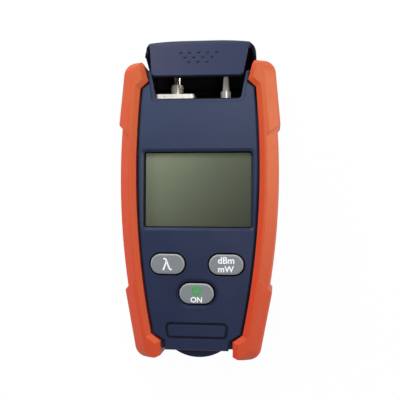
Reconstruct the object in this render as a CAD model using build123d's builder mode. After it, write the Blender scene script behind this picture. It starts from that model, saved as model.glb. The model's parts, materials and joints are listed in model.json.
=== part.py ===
from build123d import *
import os
from math import cos, radians, sin

# Handheld optical power meter, lying on its back: X to the right, Y towards the ports, Z out of the front.
# All sizes in millimetres. Outline heights (y) count from the middle of the front panel.

# Overall levels above the table
panel_y = -4.8  # middle of the front panel, so that the resting outline is centred on the origin
rear_z = 1.3  # rear panel
rear_shoulder = 4.0  # housing under the rear lips of the bumpers
parting_z = 16.7  # joint between the two shells
front_shoulder = 28.0  # housing under the front lips of the bumpers
front_z = 30.7  # front panel
plate_wall = 2.4  # front panel thickness
shell_wall = 2.0  # other shell walls

# Front panel outline, right half
side_top = (22.2, 48.2)
side_widest = (23.75, 14.0)
side_waist = (21.6, -21.7)
side_low = (17.3, -48.6)
ear_foot = (19.35, 50.4)  # where the finger beside the notch begins
ear_lean = 0.25  # sideways lean of the finger, per mm of height
ear_top = 54.9
toe_half = 12.8  # half width beside the lower hooks
toe_y = -51.3
tab_half = 12.5
panel_bottom = -54.9
rail_width = 5.4  # housing reaches this far beyond the panel, under the bumpers
horn_half = 25.4
horn_top = 57.4
horn_shoulder = 54.0
heel = (20.4, -53.2)
core_bottom = -54.6

# Rounded bulge at the lower end
bulge_radius = 17.3
bulge_tip = -59.0
bulge_front = 23.4

# Port bay at the upper end
bay_step = 0.8  # the bay is this much wider than the panel's top on each side
bay_half = side_top[0] + bay_step
bay_floor = 41.0
rear_wall_top = 52.5
notch_low_half = 16.9
notch_y = 44.0
notch_lean = 0.19
notch_radius = 1.6
ear_depth = 5.0
rebate_depth = 1.4

# Display
screen_border = 2.15  # panel left beside the display at its widest
screen_half = side_widest[0] - screen_border
screen_low = -6.9
screen_high = 23.2
screen_radius = 1.0
screen_bevel = 1.0
pane_border = 0.8
pane_thick = 1.0
pane_fit = 0.1
gasket_thick = 0.6
gasket_border = 0.4
glass_thick = 1.8
glass_border = 0.6
strip_width = 2.0

# Keys
key_width = 13.4
key_height = 7.8
key_gap = 0.65
key_proud = 0.9
key_crown = 0.7
key_travel = 0.6
flange_grow = 0.9
flange_thick = 1.1
flange_fit = 0.1
upper_key_x = 11.56
upper_key_y = -21.2
power_key_y = -32.6
dish_grow = 1.2
dish_depth = 0.8

# Name groove, left bare
groove_top_half = 12.6
groove_low_half = 11.9
groove_top = -44.0
groove_low = -50.4
groove_width = 1.0
groove_depth = 1.0
groove_radius = 2.0

# Bumpers
bumper_gap = 0.7  # visible gap beside the front panel
ear_gap = 0.4  # gap beside the fingers
bumper_fit = 0.1  # clearance round the housing rail
bumper_front = 32.0
bumper_top = 59.6
bumper_bottom = -58.9
bumper_top_half = 28.9
bumper_top_lean = 0.116  # fall of the upper end towards the outside, per mm
bumper_shoulder = (31.3, 33.0)
bumper_middle = (31.9, 10.0)
bumper_waist = (28.35, -31.0)
bumper_low_half = 23.2
bumper_low_lean = 0.15  # rise of the lower end towards the outside, per mm
bumper_corner = 5.2
bumper_core_half = 6.0
pad_thick = 1.25
upper_pad_line = 2.0  # the upper pad lies where y - x passes this value
lower_pad_line = -2.75  # the lower pad lies where y + x is below this value
steep_height = 3.1
pad_steep_height = 1.6
steep_inset = 0.65
bevel_height = 4.0
bevel_inset = 4.0
steep_end_inset = 0.3  # the bevels are narrower across both ends
bevel_end_inset = 1.1
lip_width = 2.0  # bevel along the opening of the bumpers
lip_height = 1.0
hook_round = 3.6  # inner corner of the upper hooks
toe_gap = 1.4  # gap between the panel's toe and the lower hooks
hook_toe = (toe_half + toe_gap, toe_y)
toe_run = 4.4  # slant under the lower hooks
toe_rise = 1.9
beyond = 4.0  # how far cutting shapes run past what they cut

# Dust cover, measured closed from its hinge pin
pivot_y = 54.0
pivot_z = 10.2
cover_rest_angle = 24.5  # opened this far as it lies
cover_proud = 0.6
cover_plate_low = 42.8
cover_plate_high = 57.6
cover_bend = 4.0
cover_wall = 1.6
cover_clear = 0.4
cover_half = bay_half - cover_clear
cover_corner = 3.0
cover_crown = 1.9
crown_top = 68.4  # the arched top as the cover lies, counted as the outlines are
plate_soften = 0.3
plate_low_half = 18.0
plate_lean = 0.124
plate_radius = 2.2
plate_clear = 0.35
skirt_radius = 6.6
skirt_end_angle = 175.0
arm_wall = 1.5
slot_top = 59.1
slot_radius = 1.3
arm_front_depth = 5.5
arm_low = 57.0
arm_radius = 2.5
pin_diameter = 2.5
pin_clear = 0.05
pin_press = 0.02
pin_bite = 3.6
pin_end = bay_half + pin_bite
dot_pitch = 3.6
dot_row_pitch = 2.25
dot_first_row = 54.0
dot_radius = 0.6
dot_height = 0.35
dot_rows = (5, 4, 3)

# Ports
port_x = 10.15
port_z = 16.7
block_front_y = 44.6
block_fit = 0.1
flange_width = 15.8
flange_height = 15.0
flange_top = 47.0
flange_corner = 1.0
neck_diameter = 4.6
neck_top = 51.9
ridge_depth = 0.35
ridge_count = 3
spigot_diameter = 7.0
spigot_fit = 0.05
sleeve_outer = 3.2
sleeve_bore = 2.5
sleeve_slit = 0.5
sleeve_fit = 0.03
sleeve_top = 58.0
light_washer = 5.8
light_washer_thick = 0.6
light_collar = 4.3
light_collar_top = 48.9
light_cone = 2.9
light_tube = 2.2
light_tube_top = 54.6
light_spigot = 5.0
light_sleeve_outer = 1.8
light_bore = 1.25
light_sleeve_top = 55.3
can_diameter = 5.4
can_rim = 6.4
can_rim_thick = 0.8
can_length = 4.0
flange_screw_offset = 5.6
flange_screw_head = 2.8
flange_screw_shank = 1.5
flange_screw_length = 4.0
flange_screw_head_thick = 1.0

# Battery bay and door
cell_diameter = 14.4
cell_length = 49.5
cell_nub = 5.4
cell_nub_length = 1.0
cell_spacing = 14.8
cell_low = -50.2
cell_play = 1.3
contact_thick = 0.4
contact_width = 9.0
contact_height = 10.0
tub_half = 14.9
tub_low = -51.2
tub_high = cell_low + cell_length + cell_nub_length + contact_thick + cell_play
tub_roof = 18.2
tub_wall = 1.3
door_half = 15.7
door_low = -52.8
door_land = 5.8  # the door reaches this far past the tub, over its screw boss
door_high = tub_high + door_land
door_thick = 1.15
door_clear = 0.2
door_tab_half = 3.0
door_tab_x = 8.0
door_tab_reach = 1.0
door_tab_thick = 0.7
door_grip_width = 0.8
door_grip_depth = 0.4
door_grip_pitch = 2.4
door_grip_count = 4
door_grip_y = -8.0
door_screw_inset = 2.4
door_screw_y = door_high - door_screw_inset
door_boss_radius = 2.4
door_boss_height = 5.0

# Board and screws
board_top = 22.2
board_thick = 1.6
board_inset = 1.5
board_low = -44.0
board_high = 36.0
pillar_radius = 2.2
pillar_upper = (19.3, 30.6)
pillar_lower = (15.2, -38.5)
board_screw_head = 3.6
board_screw_head_thick = 1.0
board_screw_shank = 1.6
board_screw_length = 6.0
switch_side = 6.0
switch_body = 3.2
switch_stem = 3.0
switch_stem_height = 0.6
case_screw_upper = (25.8, 33.0)
case_screw_lower = (20.9, -43.0)
case_boss_radius = 2.7
case_screw_head = 4.2
case_screw_head_thick = 1.6
case_screw_shank = 2.4
case_screw_length = 19.0
screw_fit = 0.1
chip_height = 1.0
chips = (
    ((0, 22.0), (12.0, 12.0)),
    ((11.0, 24.0), (5.0, 4.0)),
    ((-11.0, 22.0), (6.0, 5.0)),
    ((0, 12.0), (4.0, 3.0)),
)
door_screw_head_thick = 0.8
cross_depth = 0.7
cross_width = 0.6
rim_soften = 0.5

os.makedirs("parts", exist_ok=True)


def level(height):
    """Plane facing out of the front at a height, centred on the front panel."""
    return Plane(origin=(0, panel_y, height))


def cross_plane(y):
    """Plane across the body at a height of the panel, facing its lower end."""
    return Plane(origin=(0, panel_y + y, 0), x_dir=(1, 0, 0), z_dir=(0, -1, 0))


def port_plane(x, y):
    """Plane across a port axis, facing the way a connector leaves."""
    return Plane(origin=(x, panel_y + y, port_z), x_dir=(-1, 0, 0), z_dir=(0, 1, 0))


def cover_plane(x):
    """Side plane of the dust cover as it lies: first axis towards the roof, second out of its plate."""
    lean = radians(cover_rest_angle)
    return Plane(
        origin=(x, panel_y + pivot_y, pivot_z),
        x_dir=(0, cos(lean), -sin(lean)),
        z_dir=(1, 0, 0),
    )


def cover_front(depth):
    """Front plane of the dust cover as it lies, at a distance in front of its hinge pin."""
    side = cover_plane(0)
    return Plane(origin=side.origin + side.y_dir * depth, x_dir=(1, 0, 0), z_dir=side.y_dir)


def flank(margin):
    """Side curve of the panel from top to bottom, moved outwards by a margin."""
    upper = ThreePointArc(
        (side_top[0] + margin, side_top[1]),
        (side_widest[0] + margin, side_widest[1]),
        (side_waist[0] + margin, side_waist[1]),
    )
    TangentArc(upper @ 1, (side_low[0] + margin, side_low[1]), tangent=upper % 1)


def panel_outline(plane):
    """Front panel with its fingers beside the notch and its toe between the lower hooks."""
    with BuildSketch(plane) as outline:
        with BuildLine():
            Polyline(
                (0, ear_top),
                (ear_foot[0] + ear_lean * (ear_top - ear_foot[1]), ear_top),
                ear_foot,
                side_top,
            )
            flank(0)
            Polyline(
                side_low,
                (toe_half, toe_y),
                (tab_half, panel_bottom),
                (0, panel_bottom),
                (0, ear_top),
            )
        make_face()
        mirror(about=Plane.YZ)
    return outline.sketch


def rear_outline(plane, margin=0.0, top=rear_wall_top, bottom=core_bottom):
    """Rear panel between the bumpers, grown by a margin."""
    with BuildSketch(plane) as outline:
        with BuildLine():
            Polyline((0, top), (side_top[0] + margin, top), (side_top[0] + margin, side_top[1]))
            flank(margin)
            Polyline(
                (side_low[0] + margin, side_low[1]),
                (side_low[0] + margin, bottom),
                (0, bottom),
                (0, top),
            )
        make_face()
        mirror(about=Plane.YZ)
    return outline.sketch


def core_outline(plane, margin=0.0):
    """Housing under the bumpers, grown by a margin."""
    reach = rail_width + margin
    with BuildSketch(plane) as outline:
        with BuildLine():
            Polyline(
                (0, horn_top + margin),
                (horn_half + margin, horn_top + margin),
                (side_top[0] + reach, horn_shoulder + margin),
                (side_top[0] + reach, side_top[1]),
            )
            flank(reach)
            Polyline(
                (side_low[0] + reach, side_low[1]),
                (heel[0] + margin, heel[1] - margin),
                (heel[0] - rail_width / 2 + margin, core_bottom - margin),
                (0, core_bottom - margin),
                (0, horn_top + margin),
            )
        make_face()
        mirror(about=Plane.YZ)
    return outline.sketch


def cavity_outline(plane, wall):
    """Room inside the shells, inside a wall, from the lower end to the port bay."""
    reach = rail_width - wall
    with BuildSketch(plane) as outline:
        with BuildLine():
            Polyline((0, side_top[1]), (side_top[0] + reach, side_top[1]))
            flank(reach)
            Polyline(
                (side_low[0] + reach, side_low[1]),
                (heel[0] - wall, core_bottom + wall),
                (0, core_bottom + wall),
                (0, side_top[1]),
            )
        make_face()
        mirror(about=Plane.YZ)
        with Locations((0, bay_floor + side_top[1] / 2)):
            Rectangle(4 * bay_half, side_top[1], mode=Mode.SUBTRACT)
    return outline.sketch


def box_outline(plane, half, low, high):
    """Upright rectangle centred on the middle line, between two heights."""
    with BuildSketch(plane) as outline:
        with Locations((0, (low + high) / 2)):
            Rectangle(2 * half, high - low)
    return outline.sketch


def bulge_outline(plane):
    """Round segment that stands out of the lower end."""
    with BuildSketch(plane) as outline:
        with Locations((0, bulge_tip + bulge_radius)):
            Circle(bulge_radius)
        with Locations((0, core_bottom + bulge_radius)):
            Rectangle(2 * bulge_radius, 2 * bulge_radius, mode=Mode.SUBTRACT)
    return outline.sketch


def notch_outline(plane):
    """Opening in the front panel before the ports."""
    top = ear_top + beyond
    with BuildSketch(plane) as outline:
        with BuildLine():
            Polyline(
                (-notch_low_half, notch_y),
                (notch_low_half, notch_y),
                (notch_low_half + notch_lean * (top - notch_y), top),
                (-notch_low_half - notch_lean * (top - notch_y), top),
                close=True,
            )
        make_face()
        fillet(outline.vertices().group_by(Axis.Y)[0], notch_radius)
    return outline.sketch


def plate_outline(plane, low, high, margin=0.0):
    """Front plate of the dust cover between two heights, grown by a margin."""
    start = plate_low_half + margin
    with BuildSketch(plane) as outline:
        with BuildLine():
            Polyline(
                (-start, low - margin),
                (start, low - margin),
                (start + plate_lean * (high - low), high),
                (-start - plate_lean * (high - low), high),
                close=True,
            )
        make_face()
        fillet(outline.vertices().group_by(Axis.Y)[0], plate_radius + margin)
    return outline.sketch


def rounded_box(plane, half, low, high, radius):
    """Rounded rectangle centred on the middle line, between two heights."""
    with BuildSketch(plane) as outline:
        with Locations((0, (low + high) / 2)):
            RectangleRounded(2 * half, high - low, radius)
    return outline.sketch


def key_outline(plane, place, grow=0.0):
    """Stadium outline of a key or of its hole."""
    with BuildSketch(plane) as outline:
        with Locations(place):
            SlotOverall(key_width + 2 * grow, key_height + 2 * grow)
    return outline.sketch


def disc(plane, places, diameter):
    """Round outlines at several places."""
    with BuildSketch(plane) as outline:
        with Locations(*places):
            Circle(diameter / 2)
    return outline.sketch


def both_sides(*points):
    """Points and their mirror images."""
    return [(side * x, y) for x, y in points for side in (1, -1)]


key_places = {
    "wavelength_key": (-upper_key_x, upper_key_y),
    "unit_key": (upper_key_x, upper_key_y),
    "power_key": (0, power_key_y),
}
plate_inside = front_z - plate_wall
case_screws_at = both_sides(case_screw_upper, case_screw_lower)
pillars_at = both_sides(pillar_upper, pillar_lower)

# Front shell
with BuildPart() as front_housing:
    extrude(core_outline(level(parting_z)), amount=front_shoulder - parting_z)
    extrude(panel_outline(level(front_shoulder)), amount=front_z - front_shoulder)
    chamfer(front_housing.faces().sort_by(Axis.Z)[-1].edges(), rim_soften)
    extrude(bulge_outline(level(parting_z)), amount=bulge_front - parting_z)
    ceiling = front_shoulder - shell_wall
    extrude(cavity_outline(level(parting_z), shell_wall), amount=ceiling - parting_z, mode=Mode.SUBTRACT)
    inner = cavity_outline(level(ceiling), rail_width + shell_wall / 2)
    extrude(inner, amount=plate_inside - ceiling, mode=Mode.SUBTRACT)
    pane_half = screen_half + pane_border + pane_fit
    pane_room = (pane_half, screen_low - pane_border - pane_fit, screen_high + pane_border + pane_fit)
    extrude(box_outline(level(ceiling), *pane_room), amount=plate_inside - ceiling, mode=Mode.SUBTRACT)
    # Port bay, the notch in front of it and the seat of the dust cover
    bay = box_outline(level(parting_z), bay_half, bay_floor - beyond, horn_top + beyond)
    extrude(bay, amount=front_z - ear_depth - parting_z, mode=Mode.SUBTRACT)
    above_ears = box_outline(level(parting_z), bay_half, ear_top, horn_top + beyond)
    extrude(above_ears, amount=front_shoulder - parting_z, mode=Mode.SUBTRACT)
    block_room = box_outline(level(parting_z), bay_half, bay_floor - beyond, block_front_y)
    extrude(block_room, amount=plate_inside - parting_z, mode=Mode.SUBTRACT)
    extrude(notch_outline(level(parting_z)), amount=front_z - parting_z + beyond, mode=Mode.SUBTRACT)
    seat = plate_outline(level(front_z - rebate_depth), cover_plate_low, ear_top + beyond, plate_clear)
    extrude(seat, amount=rebate_depth + beyond, mode=Mode.SUBTRACT)
    # Display opening with its bevelled rim
    screen = (screen_half, screen_low, screen_high)
    opening = rounded_box(level(plate_inside), *screen, screen_radius)
    extrude(opening, amount=plate_wall, mode=Mode.SUBTRACT)
    rim_inner = rounded_box(level(front_z - screen_bevel), *screen, screen_radius)
    rim_outer = rounded_box(
        level(front_z),
        screen_half + screen_bevel,
        screen_low - screen_bevel,
        screen_high + screen_bevel,
        screen_radius + screen_bevel / 2,
    )
    loft([rim_inner, rim_outer], mode=Mode.SUBTRACT)
    # Key holes, the dish round the lower key and the name groove
    for place in key_places.values():
        extrude(key_outline(level(plate_inside), place, key_gap), amount=plate_wall, mode=Mode.SUBTRACT)
    dish_low = key_outline(level(front_z - dish_depth), key_places["power_key"], key_gap)
    dish_high = key_outline(level(front_z), key_places["power_key"], key_gap + dish_grow)
    loft([dish_low, dish_high], mode=Mode.SUBTRACT)
    with BuildSketch(level(front_z - groove_depth)) as groove:
        with BuildLine():
            Polyline(
                (-groove_low_half, groove_low),
                (groove_low_half, groove_low),
                (groove_top_half, groove_top),
                (-groove_top_half, groove_top),
                close=True,
            )
        make_face()
        fillet(groove.vertices(), groove_radius)
        offset(amount=-groove_width, mode=Mode.SUBTRACT)
    extrude(amount=groove_depth, mode=Mode.SUBTRACT)
    # Bosses for the case screws and pillars for the board
    extrude(disc(level(parting_z), case_screws_at, 2 * case_boss_radius), amount=ceiling - parting_z)
    extrude(disc(level(board_top), pillars_at, 2 * pillar_radius), amount=plate_inside - board_top)
    pilots = disc(level(parting_z), case_screws_at, case_screw_shank)
    extrude(pilots, amount=ceiling - parting_z - shell_wall, mode=Mode.SUBTRACT)
    board_pilots = disc(level(board_top), pillars_at, board_screw_shank)
    extrude(board_pilots, amount=plate_inside - board_top - shell_wall / 2, mode=Mode.SUBTRACT)
front_housing.part.label = "front_housing"
export_step(front_housing.part, "parts/front_housing.step")

# Rear shell with the battery tub
rear_inside = rear_z + shell_wall
with BuildPart() as rear_housing:
    extrude(core_outline(level(rear_shoulder)), amount=parting_z - rear_shoulder)
    extrude(rear_outline(level(rear_z)), amount=rear_shoulder - rear_z)
    extrude(bulge_outline(level(rear_shoulder)), amount=parting_z - rear_shoulder)
    floor = rear_shoulder + shell_wall
    extrude(cavity_outline(level(floor), shell_wall), amount=parting_z - floor, mode=Mode.SUBTRACT)
    inner = cavity_outline(level(rear_inside), rail_width + shell_wall / 2)
    extrude(inner, amount=floor - rear_inside, mode=Mode.SUBTRACT)
    # Port bay, open at its upper end above the rear wall
    bay = box_outline(level(rear_inside), bay_half, bay_floor - beyond, horn_top + beyond)
    extrude(bay, amount=parting_z - rear_inside, mode=Mode.SUBTRACT)
    above_wall = box_outline(level(rear_z), bay_half, rear_wall_top, horn_top + beyond)
    extrude(above_wall, amount=parting_z - rear_z, mode=Mode.SUBTRACT)
    # Battery tub with its door seat, tab pockets and screw boss
    tub = box_outline(level(rear_inside), tub_half + tub_wall, tub_low - tub_wall, tub_high + tub_wall)
    extrude(tub, amount=tub_roof + tub_wall - rear_inside)
    extrude(disc(level(rear_inside), [(0, door_screw_y)], 2 * door_boss_radius), amount=door_boss_height)
    extrude(disc(level(floor), case_screws_at, 2 * case_boss_radius), amount=parting_z - floor)
    room = box_outline(level(rear_z), tub_half, tub_low, tub_high)
    extrude(room, amount=tub_roof - rear_z, mode=Mode.SUBTRACT)
    seat = box_outline(level(rear_z), door_half + door_clear, door_low - door_clear, door_high + door_clear)
    extrude(seat, amount=door_thick, mode=Mode.SUBTRACT)
    with BuildSketch(level(rear_z + door_thick)) as pockets:
        with Locations(*both_sides((door_tab_x, door_low))):
            Rectangle(2 * (door_tab_half + door_clear), 2 * (door_tab_reach + door_clear))
    extrude(amount=door_tab_thick + door_clear, mode=Mode.SUBTRACT)
    door_pilot = disc(level(rear_z), [(0, door_screw_y)], case_screw_shank)
    extrude(door_pilot, amount=door_boss_height, mode=Mode.SUBTRACT)
    # Case screw holes with sunk heads, and the hinge pin holes
    shanks = disc(level(rear_shoulder), case_screws_at, case_screw_shank + 2 * screw_fit)
    extrude(shanks, amount=parting_z - rear_shoulder, mode=Mode.SUBTRACT)
    heads = disc(level(rear_shoulder), case_screws_at, case_screw_head + 2 * screw_fit)
    extrude(heads, amount=case_screw_head_thick, mode=Mode.SUBTRACT)
    with BuildSketch(Plane(origin=(0, panel_y + pivot_y, pivot_z), x_dir=(0, 1, 0), z_dir=(1, 0, 0))):
        Circle(pin_diameter / 2 + pin_press)
    extrude(amount=side_widest[0] + rail_width, both=True, mode=Mode.SUBTRACT)
rear_housing.part.label = "rear_housing"
export_step(rear_housing.part, "parts/rear_housing.step")


def side_outline(plane, margin, inset=0.0, end_inset=0.0):
    """Half of the bumper outline, its side moved by a margin less an inset, its ends drawn in apart."""
    shift = margin - inset
    top = bumper_top - end_inset
    low = bumper_bottom + end_inset
    hook_half = hook_toe[0] + toe_run
    with BuildSketch(plane) as outline:
        with BuildLine():
            Polyline(
                (bumper_core_half, top + bumper_top_lean * (side_top[0] - bumper_core_half)),
                (bumper_top_half + shift, top - bumper_top_lean * (bumper_top_half - side_top[0])),
                (bumper_shoulder[0] + shift, bumper_shoulder[1]),
            )
            ThreePointArc(
                (bumper_shoulder[0] + shift, bumper_shoulder[1]),
                (bumper_middle[0] + shift, bumper_middle[1]),
                (bumper_waist[0] + shift, bumper_waist[1]),
            )
            Polyline(
                (bumper_waist[0] + shift, bumper_waist[1]),
                (bumper_low_half + shift, low + bumper_low_lean * (bumper_low_half - hook_half)),
                (bumper_core_half, low - bumper_low_lean * (hook_half - bumper_core_half)),
                (bumper_core_half, top + bumper_top_lean * (side_top[0] - bumper_core_half)),
            )
        make_face()
        ends = outline.vertices().filter_by(lambda v: v.X > hook_half - inset and abs(v.Y) > side_top[1])
        fillet(ends, bumper_corner)
    return outline.sketch


def jacket(margin, steep):
    """Half of the bumper as a block with two bevels at the front and at the rear, one steep."""
    middle = bumper_front / 2
    steep_z = bumper_front - bevel_height
    wall_z = steep_z - steep
    with BuildPart() as block:
        wall = side_outline(level(wall_z), margin)
        shoulder = side_outline(level(steep_z), margin, steep_inset, steep_end_inset)
        rim = side_outline(level(bumper_front), margin, steep_inset + bevel_inset, bevel_end_inset)
        extrude(wall, amount=middle - wall_z)
        loft([wall, shoulder], ruled=True)
        loft([shoulder, rim], ruled=True)
        mirror(about=Plane(origin=(0, 0, middle)))
    return block.part


end_top = bumper_top + beyond
end_low = bumper_bottom - beyond


def opening_outline(plane, grow=0.0):
    """Half of the opening between the hooks, round the front panel, grown for the bevel of its edge."""
    finger = ear_foot[0] + ear_gap
    shoulder = finger + ear_lean * (bumper_top - ear_foot[1])
    with BuildSketch(plane) as outline:
        with BuildLine():
            Polyline(
                (0, end_top),
                (bumper_top_half, end_top),
                (bumper_top_half, bumper_top),
                (shoulder, bumper_top),
                (finger, ear_foot[1] + bumper_gap),
                (side_top[0] + bumper_gap, side_top[1]),
            )
            flank(bumper_gap)
            Polyline(
                (side_low[0] + bumper_gap, side_low[1]),
                hook_toe,
                (hook_toe[0], end_low),
                (0, end_low),
                (0, end_top),
            )
        make_face()
        fillet(outline.vertices().sort_by_distance((shoulder, bumper_top))[0], hook_round)
        if grow > 0:
            offset(amount=grow, kind=Kind.INTERSECTION, mode=Mode.REPLACE)
    return outline.sketch


# Right bumper: a jacket over the housing rail, with thicker pads at both ends and hooks over the front
upper_edge = Plane(origin=(0, panel_y + upper_pad_line, 0), z_dir=(-1, 1, 0))
lower_edge = Plane(origin=(0, panel_y + lower_pad_line, 0), z_dir=(-1, -1, 0))
with BuildPart() as upper_pad:
    add(jacket(pad_thick, pad_steep_height))
    split(bisect_by=upper_edge, keep=Keep.TOP)
with BuildPart() as lower_pad:
    add(jacket(pad_thick, pad_steep_height))
    split(bisect_by=lower_edge, keep=Keep.TOP)
with BuildPart() as right_bumper:
    add(jacket(0, steep_height))
    split(bisect_by=upper_edge, keep=Keep.BOTTOM)
    split(bisect_by=lower_edge, keep=Keep.BOTTOM)
    add(upper_pad.part)
    add(lower_pad.part)
    rail = core_outline(level(rear_shoulder - bumper_fit), bumper_fit)
    extrude(rail, amount=front_shoulder - rear_shoulder + 2 * bumper_fit, mode=Mode.SUBTRACT)
    lip_z = bumper_front - lip_height
    opening = opening_outline(level(front_shoulder - beyond))
    extrude(opening, amount=lip_z - front_shoulder + beyond, mode=Mode.SUBTRACT)
    lip = [opening_outline(level(lip_z)), opening_outline(level(bumper_front), lip_width)]
    loft(lip, ruled=True, mode=Mode.SUBTRACT)
    back = rear_outline(level(-beyond), bumper_gap, end_top, end_low)
    extrude(back, amount=rear_shoulder + 2 * beyond, mode=Mode.SUBTRACT)
    swing = box_outline(level(-beyond), bay_half + bumper_gap / 2, bay_floor, end_top)
    extrude(swing, amount=front_shoulder + beyond, mode=Mode.SUBTRACT)
    with BuildSketch(level(-beyond)) as toe_relief:
        with BuildLine():
            Polyline(
                (0, panel_bottom + bumper_gap),
                (hook_toe[0], panel_bottom + bumper_gap),
                (hook_toe[0], bumper_bottom + toe_rise),
                (hook_toe[0] + toe_run, bumper_bottom),
                (hook_toe[0] + toe_run, end_low),
                (0, end_low),
                close=True,
            )
        make_face()
    extrude(amount=bumper_front + 2 * beyond, mode=Mode.SUBTRACT)
right_bumper.part.label = "right_bumper"
export_step(right_bumper.part, "parts/right_bumper.step")

with BuildPart() as left_bumper:
    mirror(right_bumper.part, about=Plane.YZ)
left_bumper.part.label = "left_bumper"
export_step(left_bumper.part, "parts/left_bumper.step")

# Dust cover: plate, crowned roof, skirt round the hinge, two side arms
plate_face = front_z + cover_proud - pivot_z
plate_low = cover_plate_low - pivot_y
plate_high = cover_plate_high - pivot_y
roof = plate_high + cover_bend
arm_front = plate_face - arm_front_depth
skirt_end = radians(skirt_end_angle)


def skirt_tip(radius):
    """End of the skirt's arc round the hinge."""
    return (radius * sin(skirt_end), radius * cos(skirt_end))


def cover_section(drop, *inside):
    """Side section of the hood drawn in by a drop, closed across its open side by way of points inside."""
    depth = plate_face - drop
    radius = skirt_radius - drop
    with BuildSketch(cover_plane(0)) as outline:
        with BuildLine():
            Line((plate_low, depth), (plate_high, depth))
            roof_start = (roof - drop, plate_face - cover_bend)
            TangentArc((plate_high, depth), roof_start, tangent=(1, 0))
            Line(roof_start, (radius, 0))
            TangentArc((radius, 0), skirt_tip(radius), tangent=(0, -1))
            Polyline(skirt_tip(radius), *inside, (plate_low, depth))
        make_face()
    return outline.sketch


def crown_outline(drop):
    """Outline of the hood from the front as it lies, its arched top with round corners lowered by a drop."""
    side = crown_top - cover_crown - drop
    foot = pivot_y - 2 * skirt_radius
    with BuildSketch(level(-beyond)) as outline:
        with BuildLine():
            ThreePointArc((-cover_half, side), (0, crown_top - drop), (cover_half, side))
            Polyline((cover_half, side), (cover_half, foot), (-cover_half, foot), (-cover_half, side))
        make_face()
        fillet(outline.vertices().group_by(Axis.Y)[-1], cover_corner)
    return outline.sketch


crown_depth = 2 * front_z
with BuildPart() as hood_room:
    extrude(cover_section(cover_wall), amount=cover_half + beyond, both=True)
    extrude(crown_outline(cover_wall), amount=crown_depth, mode=Mode.INTERSECT)
with BuildPart() as dust_cover:
    wall_ends = (skirt_tip(skirt_radius - cover_wall), (plate_low, plate_face - cover_wall))
    extrude(cover_section(0, *wall_ends), amount=cover_half, both=True)
    add(hood_room.part, mode=Mode.SUBTRACT)
    with BuildSketch(cover_plane(cover_half - arm_wall)) as arm:
        with BuildLine():
            Polyline(
                (arm_low - pivot_y, 0),
                (arm_low - pivot_y, arm_front),
                (roof - cover_wall / 2, arm_front),
                (skirt_radius - cover_wall / 2, 0),
                close=True,
            )
        make_face()
        fillet(arm.vertices().group_by(Axis.Y)[-1].sort_by(Axis.X)[0], arm_radius)
        Circle(skirt_radius)
    extrude(amount=arm_wall)
    mirror(about=Plane.YZ)
    # Plate set free of the arms by a slot on each side, its upper end rounded
    with BuildSketch(cover_front(arm_front)) as slots:
        slot_foot = plate_low - beyond
        with Locations((0, (slot_foot + slot_top - pivot_y) / 2)):
            Rectangle(2 * cover_half + beyond, slot_top - pivot_y - slot_foot)
        add(plate_outline(Plane.XY, plate_low, roof), mode=Mode.SUBTRACT)
        slot_ends = slots.vertices().group_by(Axis.Y)[-1]
        fillet(slot_ends.filter_by(lambda v: abs(v.X) < cover_half), slot_radius)
    extrude(amount=arm_front_depth + beyond, mode=Mode.SUBTRACT)
    extrude(crown_outline(0), amount=crown_depth, mode=Mode.INTERSECT)
    outwards = Axis(cover_front(0).origin, cover_front(0).z_dir)
    upwards = Axis(cover_front(0).origin, cover_front(0).y_dir)
    plate_edges = dust_cover.faces().filter_by(outwards).sort_by(outwards)[-1].edges()
    fillet(plate_edges.sort_by(upwards)[:-1], plate_soften)
    # Grip dots and hinge eyes
    for row, count in enumerate(dot_rows):
        with BuildSketch(cover_front(plate_face)):
            with Locations((0, dot_first_row - pivot_y - row * dot_row_pitch)):
                with GridLocations(dot_pitch, 1, count, 1):
                    Circle(dot_radius)
        extrude(amount=dot_height)
    with BuildSketch(cover_plane(0)):
        Circle(pin_diameter / 2 + pin_clear)
    extrude(amount=cover_half + beyond, both=True, mode=Mode.SUBTRACT)
dust_cover.part.label = "dust_cover"
export_step(dust_cover.part, "parts/dust_cover.step")

with BuildPart() as hinge_pins:
    with BuildSketch(cover_plane(cover_half - arm_wall)):
        Circle(pin_diameter / 2)
    extrude(amount=pin_end - cover_half + arm_wall)
    mirror(about=Plane.YZ)
hinge_pins.part.label = "hinge_pins"
export_step(hinge_pins.part, "parts/hinge_pins.step")

# Bulkhead that carries both ports
meter_x = -port_x
light_x = port_x
with BuildPart() as port_block:
    with BuildSketch(port_plane(0, bay_floor)):
        half = bay_half - block_fit
        with BuildLine():
            low = rear_inside - port_z
            high = plate_inside - block_fit - port_z
            Polyline((-half, low), (half, low), (half, high), (-half, high), close=True)
        make_face()
    extrude(amount=block_front_y - bay_floor - block_fit)
    for x, bore in ((meter_x, spigot_diameter + 2 * spigot_fit), (light_x, light_spigot + 2 * spigot_fit)):
        with BuildSketch(port_plane(x, bay_floor)):
            Circle(bore / 2)
        extrude(amount=block_front_y - bay_floor, mode=Mode.SUBTRACT)
    with BuildSketch(port_plane(meter_x, bay_floor)):
        with Locations(*both_sides((flange_screw_offset, 0))):
            Circle(flange_screw_shank / 2)
    extrude(amount=block_front_y - bay_floor, mode=Mode.SUBTRACT)
port_block.part.label = "port_block"
export_step(port_block.part, "parts/port_block.step")

block_face = block_front_y - block_fit

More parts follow.
